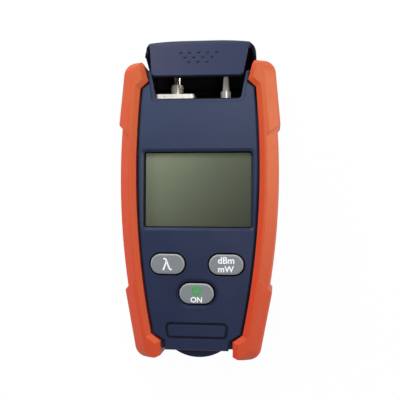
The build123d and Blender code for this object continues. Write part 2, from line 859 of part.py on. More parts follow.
# Metering port: square flange with a ridged neck round a split sleeve
with BuildPart() as meter_flange:
    with BuildSketch(port_plane(meter_x, block_face)):
        RectangleRounded(flange_width, flange_height, flange_corner)
    extrude(amount=flange_top - block_face)
    with BuildSketch(port_plane(meter_x, bay_floor + spigot_fit)):
        Circle(spigot_diameter / 2)
    extrude(amount=block_face - bay_floor)
    with BuildSketch(port_plane(meter_x, flange_top)):
        Circle(neck_diameter / 2)
    extrude(amount=neck_top - flange_top)
    ridge_pitch = (neck_top - flange_top) / (ridge_count + 1)
    for ridge in range(ridge_count):
        with BuildSketch(port_plane(meter_x, flange_top + ridge_pitch * (ridge + 0.75))):
            Circle(neck_diameter / 2 + ridge_depth)
        extrude(amount=ridge_pitch / 2)
    with BuildSketch(port_plane(meter_x, bay_floor)):
        Circle(sleeve_outer / 2 + sleeve_fit)
    extrude(amount=neck_top - bay_floor, mode=Mode.SUBTRACT)
    with BuildSketch(port_plane(meter_x, block_face)):
        with Locations(*both_sides((flange_screw_offset, 0))):
            Circle(flange_screw_shank / 2 + screw_fit)
    extrude(amount=flange_top - block_face, mode=Mode.SUBTRACT)
meter_flange.part.label = "meter_flange"
export_step(meter_flange.part, "parts/meter_flange.step")

with BuildPart() as meter_sleeve:
    with BuildSketch(port_plane(meter_x, bay_floor + spigot_fit)):
        Circle(sleeve_outer / 2)
        Circle(sleeve_bore / 2, mode=Mode.SUBTRACT)
        with Locations((0, -sleeve_outer / 2)):
            Rectangle(sleeve_slit, sleeve_outer, mode=Mode.SUBTRACT)
    extrude(amount=sleeve_top - bay_floor)
meter_sleeve.part.label = "meter_sleeve"
export_step(meter_sleeve.part, "parts/meter_sleeve.step")

with BuildPart() as flange_screws:
    sides = both_sides((flange_screw_offset, 0))
    extrude(disc(port_plane(meter_x, flange_top), sides, flange_screw_head), amount=flange_screw_head_thick)
    shank_start = port_plane(meter_x, flange_top - flange_screw_length)
    extrude(disc(shank_start, sides, flange_screw_shank), amount=flange_screw_length)
    with BuildSketch(port_plane(meter_x, flange_top + flange_screw_head_thick)):
        with Locations(*sides):
            Rectangle(flange_screw_head, cross_width)
    extrude(amount=-flange_screw_head_thick / 2, mode=Mode.SUBTRACT)
flange_screws.part.label = "flange_screws"
export_step(flange_screws.part, "parts/flange_screws.step")

# Light port: washer, collar and tapered tube round a ceramic sleeve
with BuildPart() as light_port:
    with BuildSketch(Plane(origin=(light_x, panel_y, port_z), x_dir=(1, 0, 0), z_dir=(0, 0, 1))):
        with BuildLine():
            Polyline(
                (light_sleeve_outer / 2 + sleeve_fit, bay_floor + spigot_fit),
                (light_spigot / 2, bay_floor + spigot_fit),
                (light_spigot / 2, block_face),
                (light_washer / 2, block_face),
                (light_washer / 2, block_face + light_washer_thick),
                (light_collar / 2, block_face + light_washer_thick),
                (light_collar / 2, light_collar_top),
                (light_cone / 2, light_collar_top),
                (light_tube / 2, light_tube_top),
                (light_sleeve_outer / 2 + sleeve_fit, light_tube_top),
                close=True,
            )
        make_face()
    revolve(axis=Axis((light_x, panel_y, port_z), (0, 1, 0)))
light_port.part.label = "light_port"
export_step(light_port.part, "parts/light_port.step")

with BuildPart() as light_sleeve:
    with BuildSketch(port_plane(light_x, bay_floor + spigot_fit)):
        Circle(light_sleeve_outer / 2)
        Circle(light_bore / 2, mode=Mode.SUBTRACT)
    extrude(amount=light_sleeve_top - bay_floor)
light_sleeve.part.label = "light_sleeve"
export_step(light_sleeve.part, "parts/light_sleeve.step")

for label, x in (("detector_can", meter_x), ("emitter_can", light_x)):
    with BuildPart() as can:
        with BuildSketch(port_plane(x, bay_floor)):
            Circle(can_rim / 2)
        extrude(amount=-can_rim_thick)
        with BuildSketch(port_plane(x, bay_floor)):
            Circle(can_diameter / 2)
        extrude(amount=-can_length)
    can.part.label = label
    export_step(can.part, f"parts/{label}.step")

# Display: pane, gasket, glass and the tray that holds it on the board
pane_z = plate_inside - pane_thick
gasket_z = pane_z - gasket_thick
glass_z = gasket_z - glass_thick
pane_box = (screen_half + pane_border, screen_low - pane_border, screen_high + pane_border)
glass_box = (screen_half + glass_border, screen_low - glass_border, screen_high + glass_border)
with BuildPart() as display_window:
    extrude(box_outline(level(pane_z), *pane_box), amount=pane_thick)
display_window.part.label = "display_window"
export_step(display_window.part, "parts/display_window.step")

with BuildPart() as display_gasket:
    extrude(box_outline(level(gasket_z), *pane_box), amount=gasket_thick)
    view = (screen_half - gasket_border, screen_low + gasket_border, screen_high - gasket_border)
    extrude(box_outline(level(gasket_z), *view), amount=gasket_thick, mode=Mode.SUBTRACT)
display_gasket.part.label = "display_gasket"
export_step(display_gasket.part, "parts/display_gasket.step")

with BuildPart() as display_panel:
    extrude(box_outline(level(glass_z), *glass_box), amount=glass_thick)
display_panel.part.label = "display_panel"
export_step(display_panel.part, "parts/display_panel.step")

strip_at = (glass_box[1] + strip_width, glass_box[2] - strip_width)
with BuildPart() as display_holder:
    extrude(box_outline(level(board_top), *glass_box), amount=glass_z - board_top)
    for y in strip_at:
        slot = box_outline(level(board_top), screen_half, y - strip_width / 2, y + strip_width / 2)
        extrude(slot, amount=glass_z - board_top, mode=Mode.SUBTRACT)
display_holder.part.label = "display_holder"
export_step(display_holder.part, "parts/display_holder.step")

with BuildPart() as contact_strips:
    for y in strip_at:
        half = strip_width / 2 - screw_fit
        strip = box_outline(level(board_top), screen_half - screw_fit, y - half, y + half)
        extrude(strip, amount=glass_z - board_top)
contact_strips.part.label = "contact_strips"
export_step(contact_strips.part, "parts/contact_strips.step")

# Main board with its chips, switches and screws
with BuildPart() as main_board:
    with BuildSketch(level(board_top - board_thick)):
        with BuildLine():
            Polyline((0, side_top[1]), (side_top[0] - board_inset, side_top[1]))
            flank(-board_inset)
            low = side_low[0] - board_inset
            Polyline((low, side_low[1]), (0, side_low[1]), (0, side_top[1]))
        make_face()
        mirror(about=Plane.YZ)
        with Locations((0, (board_low + board_high) / 2)):
            Rectangle(4 * screen_half, board_high - board_low, mode=Mode.INTERSECT)
        with Locations(*pillars_at):
            Circle(board_screw_shank / 2 + screw_fit, mode=Mode.SUBTRACT)
    extrude(amount=board_thick)
main_board.part.label = "main_board"
export_step(main_board.part, "parts/main_board.step")

with BuildPart() as board_chips:
    with BuildSketch(level(board_top - board_thick)):
        for place, size in chips:
            with Locations(place):
                Rectangle(*size)
    extrude(amount=-chip_height)
board_chips.part.label = "board_chips"
export_step(board_chips.part, "parts/board_chips.step")

with BuildPart() as board_screws:
    under = level(board_top - board_thick)
    extrude(disc(under, pillars_at, board_screw_head), amount=-board_screw_head_thick)
    extrude(disc(under, pillars_at, board_screw_shank), amount=board_screw_length)
    with BuildSketch(level(board_top - board_thick - board_screw_head_thick)):
        with Locations(*pillars_at):
            Rectangle(board_screw_head / 2, cross_width)
            Rectangle(cross_width, board_screw_head / 2)
    extrude(amount=cross_depth, mode=Mode.SUBTRACT)
board_screws.part.label = "board_screws"
export_step(board_screws.part, "parts/board_screws.step")

with BuildPart() as key_switches:
    with BuildSketch(level(board_top)):
        with Locations(*key_places.values()):
            Rectangle(switch_side, switch_side)
    extrude(amount=switch_body)
    stems = disc(level(board_top + switch_body), key_places.values(), switch_stem)
    extrude(stems, amount=switch_stem_height)
key_switches.part.label = "key_switches"
export_step(key_switches.part, "parts/key_switches.step")

# Keys: crowned cap, flange under the panel and a foot over the switch
switch_top = board_top + switch_body + switch_stem_height
for label, place in key_places.items():
    with BuildPart() as key:
        flange_z = plate_inside - flange_fit - flange_thick
        extrude(key_outline(level(flange_z), place), amount=front_z + key_proud - flange_z)
        fillet(key.faces().sort_by(Axis.Z)[-1].edges(), key_crown)
        extrude(key_outline(level(flange_z), place, key_gap + flange_grow), amount=flange_thick)
        foot_z = switch_top + key_travel + flange_fit
        extrude(disc(level(foot_z), [place], switch_stem), amount=flange_z - foot_z)
    key.part.label = label
    export_step(key.part, f"parts/{label}.step")

# Case screws from the rear, hidden under the bumpers
with BuildPart() as case_screws:
    head = level(rear_shoulder)
    extrude(disc(head, case_screws_at, case_screw_head), amount=case_screw_head_thick)
    extrude(disc(head, case_screws_at, case_screw_shank), amount=case_screw_length)
    with BuildSketch(level(rear_shoulder)):
        with Locations(*case_screws_at):
            Rectangle(case_screw_head / 2, cross_width)
            Rectangle(cross_width, case_screw_head / 2)
    extrude(amount=cross_depth, mode=Mode.SUBTRACT)
case_screws.part.label = "case_screws"
export_step(case_screws.part, "parts/case_screws.step")

# Battery door with tabs, finger ridges and its screw
with BuildPart() as battery_door:
    extrude(box_outline(level(rear_z), door_half, door_low, door_high), amount=door_thick)
    with BuildSketch(level(rear_z + door_thick)):
        with Locations(*both_sides((door_tab_x, door_low))):
            Rectangle(2 * door_tab_half, 2 * door_tab_reach)
    extrude(amount=door_tab_thick)
    with BuildSketch(level(rear_z)):
        with Locations((0, door_grip_y)):
            with GridLocations(1, door_grip_pitch, 1, door_grip_count):
                SlotOverall(door_half, door_grip_width)
    extrude(amount=door_grip_depth, mode=Mode.SUBTRACT)
    door_hole = disc(level(rear_z), [(0, door_screw_y)], case_screw_shank + 2 * screw_fit)
    extrude(door_hole, amount=door_thick, mode=Mode.SUBTRACT)
battery_door.part.label = "battery_door"
export_step(battery_door.part, "parts/battery_door.step")

with BuildPart() as door_screw:
    door_at = [(0, door_screw_y)]
    extrude(disc(level(rear_z), door_at, case_screw_head), amount=-door_screw_head_thick)
    extrude(disc(level(rear_z), door_at, case_screw_shank), amount=door_boss_height - cross_depth)
    with BuildSketch(level(rear_z - door_screw_head_thick)):
        with Locations(*door_at):
            Rectangle(case_screw_head / 2, cross_width)
            Rectangle(cross_width, case_screw_head / 2)
    extrude(amount=door_screw_head_thick / 2, mode=Mode.SUBTRACT)
door_screw.part.label = "door_screw"
export_step(door_screw.part, "parts/door_screw.step")

# Two cells side by side, with a bridge at one end and leaves at the other
cell_z = rear_z + door_thick + cell_diameter / 2 + screw_fit
with BuildPart() as battery_cells:
    for side in (1, -1):
        start = cell_low if side > 0 else cell_low + cell_nub_length
        with BuildSketch(cross_plane(start)):
            with Locations((side * cell_spacing / 2, cell_z)):
                Circle(cell_diameter / 2)
        extrude(amount=-cell_length)
        nub_start = start + cell_length if side > 0 else start
        with BuildSketch(cross_plane(nub_start)):
            with Locations((side * cell_spacing / 2, cell_z)):
                Circle(cell_nub / 2)
        extrude(amount=-side * cell_nub_length)
battery_cells.part.label = "battery_cells"
export_step(battery_cells.part, "parts/battery_cells.step")

with BuildPart() as contact_bridge:
    with BuildSketch(cross_plane(cell_low)):
        with Locations((0, cell_z)):
            Rectangle(cell_spacing + contact_width, contact_height)
    extrude(amount=contact_thick)
contact_bridge.part.label = "contact_bridge"
export_step(contact_bridge.part, "parts/contact_bridge.step")

with BuildPart() as contact_leaves:
    with BuildSketch(cross_plane(cell_low + cell_length + cell_nub_length)):
        with Locations((cell_spacing / 2, cell_z), (-cell_spacing / 2, cell_z)):
            Rectangle(contact_width, contact_height)
    extrude(amount=-contact_thick)
contact_leaves.part.label = "contact_leaves"
export_step(contact_leaves.part, "parts/contact_leaves.step")
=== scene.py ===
import json
from math import cos, pi, radians, sin

import bmesh
import bpy
import numpy as np
from mathutils import Matrix, Vector


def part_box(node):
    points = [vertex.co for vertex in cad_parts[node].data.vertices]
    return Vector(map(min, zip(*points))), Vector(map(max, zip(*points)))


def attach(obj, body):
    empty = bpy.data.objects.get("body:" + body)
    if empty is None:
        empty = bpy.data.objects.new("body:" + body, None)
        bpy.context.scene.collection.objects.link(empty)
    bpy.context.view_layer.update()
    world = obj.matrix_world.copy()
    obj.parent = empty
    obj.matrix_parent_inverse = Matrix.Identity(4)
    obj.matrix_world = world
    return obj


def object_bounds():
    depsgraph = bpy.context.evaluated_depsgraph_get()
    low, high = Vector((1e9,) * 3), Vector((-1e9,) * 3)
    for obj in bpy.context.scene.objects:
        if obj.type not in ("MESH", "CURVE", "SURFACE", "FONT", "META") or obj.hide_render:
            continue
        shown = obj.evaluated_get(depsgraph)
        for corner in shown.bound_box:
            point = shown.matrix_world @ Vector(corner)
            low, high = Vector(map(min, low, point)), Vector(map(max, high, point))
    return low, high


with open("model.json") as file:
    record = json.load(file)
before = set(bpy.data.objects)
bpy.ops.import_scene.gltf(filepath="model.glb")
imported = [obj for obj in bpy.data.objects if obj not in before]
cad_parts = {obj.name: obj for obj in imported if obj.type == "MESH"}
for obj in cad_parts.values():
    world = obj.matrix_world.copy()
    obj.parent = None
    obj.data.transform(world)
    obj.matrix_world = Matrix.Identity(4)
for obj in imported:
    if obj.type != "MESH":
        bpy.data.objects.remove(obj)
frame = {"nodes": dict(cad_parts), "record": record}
cad_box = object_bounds()

# Handheld optical power meter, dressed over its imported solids. Lengths are in metres, in the frame of the
# solids: X to the right, Y towards the ports, Z out of the front panel.
MM = 0.001
PANEL_MID = -4.8 * MM  # middle of the front panel along Y
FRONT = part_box("front_housing")[1][2]

# Port bay, painted black inside as shade
BAY_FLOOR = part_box("port_block")[0][1]
BAY_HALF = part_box("port_block")[1][0] + 0.2 * MM
BAY_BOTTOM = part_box("port_block")[0][2] - 0.3 * MM
BAY_RIM = FRONT - 2.6 * MM  # the walls are painted black as shade from this level down
EAR_TOP = 50.1 * MM  # upper end of the fingers beside the port notch

# Dust cover, painted black inside as shade; its plate and roof are measured from the hinge, along the turned
# cover
HINGE = Vector(frame["record"]["behaviour"]["joints"][0]["pos_m"])
COVER_LEAN = radians(24.5)  # the dust cover lies opened by this angle
COVER_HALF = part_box("dust_cover")[1][0]
COVER_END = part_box("dust_cover")[1][1]
COVER_ARCH = 1.9 * MM  # the roof falls this much from its middle to its sides
PLATE_INSIDE = 20.4 * MM
ROOF_INSIDE = 5.8 * MM
ROOF_SLOPE = 0.0585
ROOF_SKIN = 0.8 * MM
ARM_SKIN = 0.7 * MM
COVER_SLOT = 19.3 * MM  # the slots beside the plate start this far from the middle
ARM_FRONT = 15.5 * MM  # and lie this far in front of the hinge

# Long groove below the keys, painted dark inside as shade
GROOVE_TOP = PANEL_MID - 43.5 * MM
GROOVE_LOW = PANEL_MID - 50.9 * MM
GROOVE_HALF = 13.0 * MM
GROOVE_RIM = FRONT - 0.3 * MM  # its walls are painted dark as shade between these levels
GROOVE_BOTTOM = FRONT - 1.2 * MM
GROOVE_SHADE = 0.65  # share of black painted as shade in its colour

# Keys, and what is printed on them
KEY_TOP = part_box("power_key")[1][2]
KEY_SKIRT = FRONT - 0.5 * MM  # a key is painted black as shade below this level
EDGE_HIGHLIGHT_DROP = 0.3 * MM  # and painted pale as an edge highlight this far below its top
INK = 0.03 * MM  # thickness of the print
INK_SUNK = 0.005 * MM  # its underside lies this far inside the key
THIN_STROKE = 0.008  # strokes of the letters are widened by these shares of their size
BOLD_STROKE = 0.022
SYMBOL_RISE = 1.15 * MM  # middle of the power symbol above the middle of its key
SYMBOL_RADIUS = 1.55 * MM
SYMBOL_LINE = 0.8 * MM
SYMBOL_GAP = radians(27)  # the ring is open by this angle to each side of its top
SYMBOL_STEPS = 49
BAR_LENGTH = 2.0 * MM
BAR_LINE = 0.75 * MM

# Grain of the mouldings
CLOUD_SIZE = 14 * MM  # patches of faintly different colour
DULL_SIZE = 3 * MM  # patches of faintly different gloss
GRAIN_SIZE = 0.35 * MM
GRAIN_STRENGTH = 0.12

# Floor and sky
FLOOR_FLAT = 1.5  # radius of the flat middle
FLOOR_REACH = 3.0  # and of the whole floor, whose edge rises as a backdrop
FLOOR_RISE = 1.2
FLOOR_ROWS = 12
FLOOR_COLUMNS = 64
FLOOR_DROP = 0.02 * MM
FLOOR_GREY = (0.85, 0.85, 0.85, 1.0)
SHADOW_SHARE = 0.03  # how much of the shadow shows on the floor
SKY_STRENGTH = 0.16

# Camera, fitted to the photograph: its place from the middle of the front panel, and its axes
CAMERA_FROM_PANEL = Vector((30.01, -0.63, 253.40)) * MM
CAMERA_BACK = Vector((0.11318, -0.01811, 0.99341))
CAMERA_UP = Vector((-0.00306, 0.99982, 0.01858))
CAMERA_NEAR = 10 * MM
IMAGE_SIDE = 400
FOCAL_PIXELS = 650.47
SENSOR_MM = 36.0


def linear(red, green, blue):
    """Display colour from 0 to 255 turned into linear light, by the standard display curve."""
    shown = np.array((red, green, blue)) / 255.0
    curve = np.where(shown <= 0.04045, shown / 12.92, ((shown + 0.055) / 1.055) ** 2.4)
    return (*curve.tolist(), 1.0)


def shaded(colour, share):
    """A colour whose light is multiplied by a share."""
    return (*(light * share for light in colour[:3]), 1.0)


# Colours
WHITE = (1.0, 1.0, 1.0, 1.0)
BLACK = (0.0, 0.0, 0.0, 1.0)
# painted shade: black for the port bay, the inside of the dust cover and the key skirts
PAINTED_SHADE_BLACK = linear(12, 12, 14)
TRIM_BLACK = linear(14, 14, 16)
HOUSING_BLUE = linear(31, 39, 65)
HOUSING_TOP_LIGHT = linear(54, 66, 94)  # upper end of the housing, painted paler as light falling from above
COVER_BLUE = linear(33, 40, 69)
BUMPER_ORANGE = linear(187, 45, 20)
BUMPER_TOP_LIGHT = linear(185, 67, 31)  # upper ends of the bumpers, painted paler as light falling from above
BUMPER_SHINE = (1.0, 0.95, 0.5, 1.0)
KEY_GREY = linear(115, 121, 125)
# painted highlight on the edges of the keys
KEY_EDGE_HIGHLIGHT = linear(172, 170, 170)
NICKEL = linear(250, 246, 234)
PANE_DIM = linear(70, 74, 68)
PANE_CLEAR = linear(90, 94, 86)
DISPLAY_LIT_CORNER = linear(142, 151, 126)  # upper left corner of the display, painted pale as light
DISPLAY_SHADE_RIGHT = 2.7  # painted shade: the display darkens this many times from left to right
DISPLAY_SHADE_DOWN = 2.4  # and this many times from top to bottom


class Flow:
    """One socket of a material; arithmetic on it adds the Math nodes that work it out."""

    def __init__(self, tree, socket):
        self.tree = tree
        self.socket = socket

    def node(self, kind, settings=None, inputs=None, output=0):
        """Adds a node of any kind, its settings first, then the values or links of its sockets."""
        made = self.tree.nodes.new(kind)
        for name, value in (settings or {}).items():
            setattr(made, name, value)
        for name, value in (inputs or {}).items():
            if isinstance(value, Flow):
                self.tree.links.new(value.socket, made.inputs[name])
            else:
                made.inputs[name].default_value = value
        return Flow(self.tree, made.outputs[output]) if made.outputs else None

    def math(self, operation, first, second=0.0):
        """One Math node on two values or flows."""
        return self.node("ShaderNodeMath", {"operation": operation}, {0: first, 1: second})

    def __add__(self, other):
        return self.math("ADD", self, other)

    def __sub__(self, other):
        return self.math("SUBTRACT", self, other)

    def __rsub__(self, other):
        return self.math("SUBTRACT", other, self)

    def __mul__(self, other):
        return self.math("MULTIPLY", self, other)

    def __truediv__(self, other):
        return self.math("DIVIDE", self, other)

    __radd__ = __add__
    __rmul__ = __mul__

    def below(self, limit):
        """1 where the value is under a limit, else 0."""
        return self.math("LESS_THAN", self, limit)

    def within(self, half):
        """1 where the value lies less than half to either side of 0, else 0."""
        return (self * self).below(half * half)

    def clamp(self):
        """The value held between 0 and 1."""
        return self.node("ShaderNodeClamp", {}, {0: self})

    def blend(self, low, high):
        """A colour that goes from low to high as this value goes from 0 to 1."""
        return self.node("ShaderNodeMix", {"data_type": "RGBA"}, {0: self, 6: low, 7: high}, 2)

    def noise(self, size, detail=3.0):
        """Cloudy noise from 0 to 1 whose patches are about this size in metres; this flow is the place."""
        inputs = {"Vector": self, "Scale": 1.0 / size, "Detail": detail, "Roughness": 0.55}
        return self.node("ShaderNodeTexNoise", {}, inputs)

    def axis(self, index):
        """One coordinate of this place."""
        return self.node("ShaderNodeSeparateXYZ", {}, {0: self}, index)

    def soft_edge(self, radius):
        """Surface direction turned smoothly across edges within a radius."""
        return self.node("ShaderNodeBevel", {"samples": 6}, {"Radius": radius})

    def bump(self, strength, depth, normal):
        """Surface direction over this height: a relief of the given depth in metres on top of a direction."""
        inputs = {"Strength": strength, "Distance": depth, "Height": self, "Normal": normal}
        return self.node("ShaderNodeBump", {}, inputs)


def finish(name, look):
    """A material: look takes the place on the piece and gives the sockets of its surface shader."""
    material = bpy.data.materials.new(name)
    material.use_nodes = True
    tree = material.node_tree
    tree.nodes.clear()
    place = Flow(tree, None).node("ShaderNodeTexCoord", output="Object")
    surface = place.node("ShaderNodeBsdfPrincipled", {}, look(place))
    place.node("ShaderNodeOutputMaterial", {}, {"Surface": surface})
    return material


def inside_bay(place):
    """1 on the walls of the port bay, where shade is painted black."""
    along = place.axis(1)
    level = place.axis(2)
    deep = level.below(BAY_RIM) * (1.0 - level.below(BAY_BOTTOM))
    past_floor = (1.0 - along.below(BAY_FLOOR)) * along.below(EAR_TOP)
    return deep * past_floor * place.axis(0).within(BAY_HALF)


def inside_recesses(place):
    """1 in the port bay, and a share of 1 down in the long groove, where shade is painted dark."""
    along = place.axis(1)
    level = place.axis(2)
    sunk = level.below(GROOVE_RIM) * (1.0 - level.below(GROOVE_BOTTOM))
    in_rows = along.below(GROOVE_TOP) * (1.0 - along.below(GROOVE_LOW))
    in_columns = place.axis(0).within(GROOVE_HALF)
    return (inside_bay(place) + GROOVE_SHADE * sunk * in_rows * in_columns).clamp()


def inside_cover(place):
    """1 on the inner side of the dust cover, where shade is painted black: behind the middle of its plate,
    roof and arms.
    """
    across = place.axis(0)
    up = place.axis(1) - HINGE[1]
    out = place.axis(2) - HINGE[2]
    towards_roof = up * cos(COVER_LEAN) - out * sin(COVER_LEAN)
    towards_plate = up * sin(COVER_LEAN) + out * cos(COVER_LEAN)
    behind_plate = towards_plate.below(PLATE_INSIDE)
    under_roof = (towards_roof - ROOF_SLOPE * towards_plate).below(ROOF_INSIDE)
    sag = COVER_ARCH / (COVER_HALF * COVER_HALF)
    under_arch = (place.axis(1) + across * across * sag).below(COVER_END - ROOF_SKIN)
    between_arms = across.within(COVER_HALF - ARM_SKIN)
    beside_plate = (1.0 - across.within(COVER_SLOT)) * (1.0 - towards_plate.below(ARM_FRONT))
    return behind_plate * under_roof * under_arch * between_arms * (1.0 - beside_plate)


def under_panel(place):
    """1 on the skirt of a key, down in its hole, where shade is painted black."""
    return place.axis(2).below(KEY_SKIRT)


def moulded(
    colour, roughness, edge, grain=0.05 * MM, specular=0.4, tint=WHITE, lit_top_colour=None, edge_highlight=None,
    shadowed=None,
):
    """Moulded plastic or rubber: a cloudy colour that may be painted paler towards the upper end as light,
    painted pale on its edge as a highlight, and painted black inside as shade; wandering roughness; fine
    grain over soft edges."""
    def look(place):
        cloud = 0.4 * (place.noise(CLOUD_SIZE) - 0.5)
        # painted light: paler towards the upper end
        if lit_top_colour:
            rise = (place.axis(1) - cad_box[0][1]) / (cad_box[1][1] - cad_box[0][1])
            paint = (rise * rise + cloud).clamp().blend(colour, lit_top_colour)
        else:
            paint = (0.5 + cloud).clamp().blend(shaded(colour, 0.92), shaded(colour, 1.08))
        # painted highlight on the edge just below the top
        if edge_highlight:
            paint = ((KEY_TOP - place.axis(2)) / EDGE_HIGHLIGHT_DROP).clamp().blend(paint, edge_highlight)
        dullness = roughness + 0.1 * (place.noise(DULL_SIZE) - 0.5)
        # painted shade: black where the mask is 1
        if shadowed:
            dark = shadowed(place)
            paint = dark.blend(paint, PAINTED_SHADE_BLACK)
            dullness = dullness + 0.4 * dark
        return {
            "Base Color": paint,
            "Roughness": dullness,
            "Normal": place.noise(GRAIN_SIZE, 2.0).bump(GRAIN_STRENGTH, grain, place.soft_edge(edge)),
            "Specular IOR Level": specular,
            "Specular Tint": tint,
        }
    return look


def plated(colour, roughness, brushing, metallic=1.0):
    """Plated metal: bright, with colour and roughness streaked by the turning marks."""
    def look(place):
        streak = place.noise(brushing)
        return {
            "Base Color": streak.blend(shaded(colour, 0.85), colour),
            "Metallic": metallic,
            "Roughness": roughness + 0.15 * (streak - 0.5),
            "Normal": place.soft_edge(0.12 * MM),
        }
    return look


def plain(colour, roughness, patch_size=2 * MM):
    """Plain finish with faintly uneven patches of colour and roughness."""
    def look(place):
        patch = place.noise(patch_size)
        return {
            "Base Color": patch.blend(shaded(colour, 0.88), colour),
            "Roughness": roughness + 0.12 * (patch - 0.5),
        }
    return look


def display_look(place):
    """Grey-green liquid crystal glass with painted light and shade: palest at its upper left corner and
    darker away from it, divided by each shade factor to the power of the share of the way across or down."""
    low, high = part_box("display_panel")
    across = (place.axis(0) - low[0]) / (high[0] - low[0])
    up = (place.axis(1) - low[1]) / (high[1] - low[1])
    cloud = place.noise(9 * MM)
    shade_right = place.math("POWER", DISPLAY_SHADE_RIGHT, 0.0 - across)
    shade_down = place.math("POWER", DISPLAY_SHADE_DOWN, up - 1.0)
    return {
        "Base Color": (shade_right * shade_down * (0.96 + 0.08 * cloud)).clamp().blend(BLACK, DISPLAY_LIT_CORNER),
        "Roughness": 0.42 + 0.08 * (cloud - 0.5),
        "Specular IOR Level": 0.1,
    }


def pane_look(place):
    """Clear pane: it lets the display through and keeps a thin reflection."""
    smear = place.noise(12 * MM)
    return {
        "Base Color": smear.blend(PANE_DIM, PANE_CLEAR),
        "Roughness": 0.1 + 0.06 * smear,
        "Alpha": 0.02 + 0.02 * smear,
        "Specular IOR Level": 0.4,
    }


looks = {
    "housing_plastic": moulded(
        HOUSING_BLUE, 0.42, 0.35 * MM, specular=0.2, lit_top_colour=HOUSING_TOP_LIGHT, shadowed=inside_recesses,
    ),
    "cover_plastic": moulded(COVER_BLUE, 0.44, 0.08 * MM, specular=0.2, shadowed=inside_cover),
    "bumper_rubber": moulded(
        BUMPER_ORANGE, 0.58, 0.35 * MM, 0.04 * MM, specular=0.9, tint=BUMPER_SHINE, lit_top_colour=BUMPER_TOP_LIGHT,
    ),
    "key_rubber": moulded(KEY_GREY, 0.5, 0.25 * MM, 0.03 * MM, edge_highlight=KEY_EDGE_HIGHLIGHT, shadowed=under_panel),
    "black_plastic": moulded(TRIM_BLACK, 0.75, 0.15 * MM, specular=0.2),
    "display_glass": display_look,
    "clear_pane": pane_look,
    "tray_plastic": plain(linear(190, 188, 182), 0.5),
    "strip_rubber": plain(linear(170, 110, 118), 0.6),
    "board_green": plain(linear(28, 96, 56), 0.35),
    "chip_black": plain(linear(30, 30, 32), 0.5),
    "switch_black": plain(linear(42, 42, 44), 0.5),
    "flange_nickel": plated(NICKEL, 0.3, 1.5 * MM, 0.35),
    "sleeve_bronze": plated(linear(220, 214, 200), 0.26, 0.8 * MM),
    "sleeve_ceramic": plain(linear(236, 235, 228), 0.25),
    "can_steel": plated(linear(196, 198, 200), 0.3, 1.0 * MM),
    "screw_steel": plated(linear(186, 188, 192), 0.32, 0.6 * MM),
    "cell_jacket": plain(linear(70, 74, 84), 0.35),
    "contact_nickel": plated(linear(205, 206, 205), 0.3, 0.8 * MM),
    "legend_white": plain(linear(236, 238, 240), 0.55, 0.5 * MM),
    "legend_green": plain(linear(38, 158, 58), 0.5, 0.5 * MM),
}
materials = {name: finish(name, look) for name, look in looks.items()}

slot_finish = {
    "housing": "housing_plastic",
    "cover": "cover_plastic",
    "bumper": "bumper_rubber",
    "pane": "clear_pane",
    "black_trim": "black_plastic",
    "display": "display_glass",
    "inner_plastic": "tray_plastic",
    "strip_rubber": "strip_rubber",
    "board": "board_green",
    "chip": "chip_black",
    "switch": "switch_black",
    "key": "key_rubber",
    "plated_brass": "flange_nickel",
    "sleeve_metal": "sleeve_bronze",
    "sleeve_ceramic": "sleeve_ceramic",
    "can_metal": "can_steel",
    "steel": "screw_steel",
    "cell_jacket": "cell_jacket",
    "contact_metal": "contact_nickel",
}
for subpart in frame["record"]["subparts"]:
    node = frame["nodes"][subpart["node"]]
    node.data.materials.clear()
    node.data.materials.append(materials[slot_finish[subpart["material_slot"]]])


def placed(name, data):
    """An object of that name and data in the scene."""
    made = bpy.data.objects.new(name, data)
    bpy.context.scene.collection.objects.link(made)
    return made


def printed(name, mesh, finish_name, body):
    """A piece of print at the origin that rides on a key, with doubles merged and faces turned outwards."""
    work = bmesh.new()
    work.from_mesh(mesh)
    bmesh.ops.remove_doubles(work, verts=work.verts, dist=0.0005 * MM)
    bmesh.ops.recalc_face_normals(work, faces=work.faces)
    work.to_mesh(mesh)
    work.free()
    mesh.materials.append(materials[finish_name])
    made = placed(name, mesh)
    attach(made, body)
    return made


def legend(name, words, height, rise, stroke, key):
    """Printed words: the outline of the letters as a thin sheet, scaled to a height and centred at a rise
    above the middle of a key."""
    curve = bpy.data.curves.new(name, "FONT")
    curve.body = words
    curve.align_x = "CENTER"
    curve.offset = stroke
    curve.resolution_u = 6
    curve.extrude = 0.5
    written = placed(name, curve)
    mesh = bpy.data.meshes.new_from_object(written.evaluated_get(bpy.context.evaluated_depsgraph_get()))
    bpy.data.objects.remove(written)
    points = np.empty(len(mesh.vertices) * 3)
    mesh.vertices.foreach_get("co", points)
    points = points.reshape(-1, 3)
    low = points.min(axis=0)
    high = points.max(axis=0)
    size = height / (high[1] - low[1])
    across, along = key_centre(key)
    centre = np.array((across, along + rise, KEY_TOP + INK / 2 - INK_SUNK))
    points = (points - (low + high) / 2) * np.array((size, size, INK)) + centre
    mesh.vertices.foreach_set("co", points.ravel())
    return printed(name, mesh, "legend_white", key)


def ink_line(name, path, sideways, width, key):
    """Printed line: a rectangle of its width and the ink's thickness carried along a path of points."""
    across = np.array((-0.5, 0.5, 0.5, -0.5))[:, None] * width
    flat = path[:, None] + across * sideways[:, None]
    level = np.broadcast_to((0.0, 0.0, INK, INK), flat.shape[:2]) + KEY_TOP - INK_SUNK
    points = np.concatenate((flat, level[..., None]), axis=-1)
    index = np.arange(level.size).reshape(level.shape)
    ahead = np.roll(index, -1, axis=1)
    walls = np.stack((index[:-1], ahead[:-1], ahead[1:], index[1:]), axis=-1).reshape(-1, 4)
    mesh = bpy.data.meshes.new(name)
    faces = walls.tolist() + [index[0][::-1].tolist(), index[-1].tolist()]
    mesh.from_pydata(points.reshape(-1, 3).tolist(), [], faces)
    return printed(name, mesh, "legend_green", key)


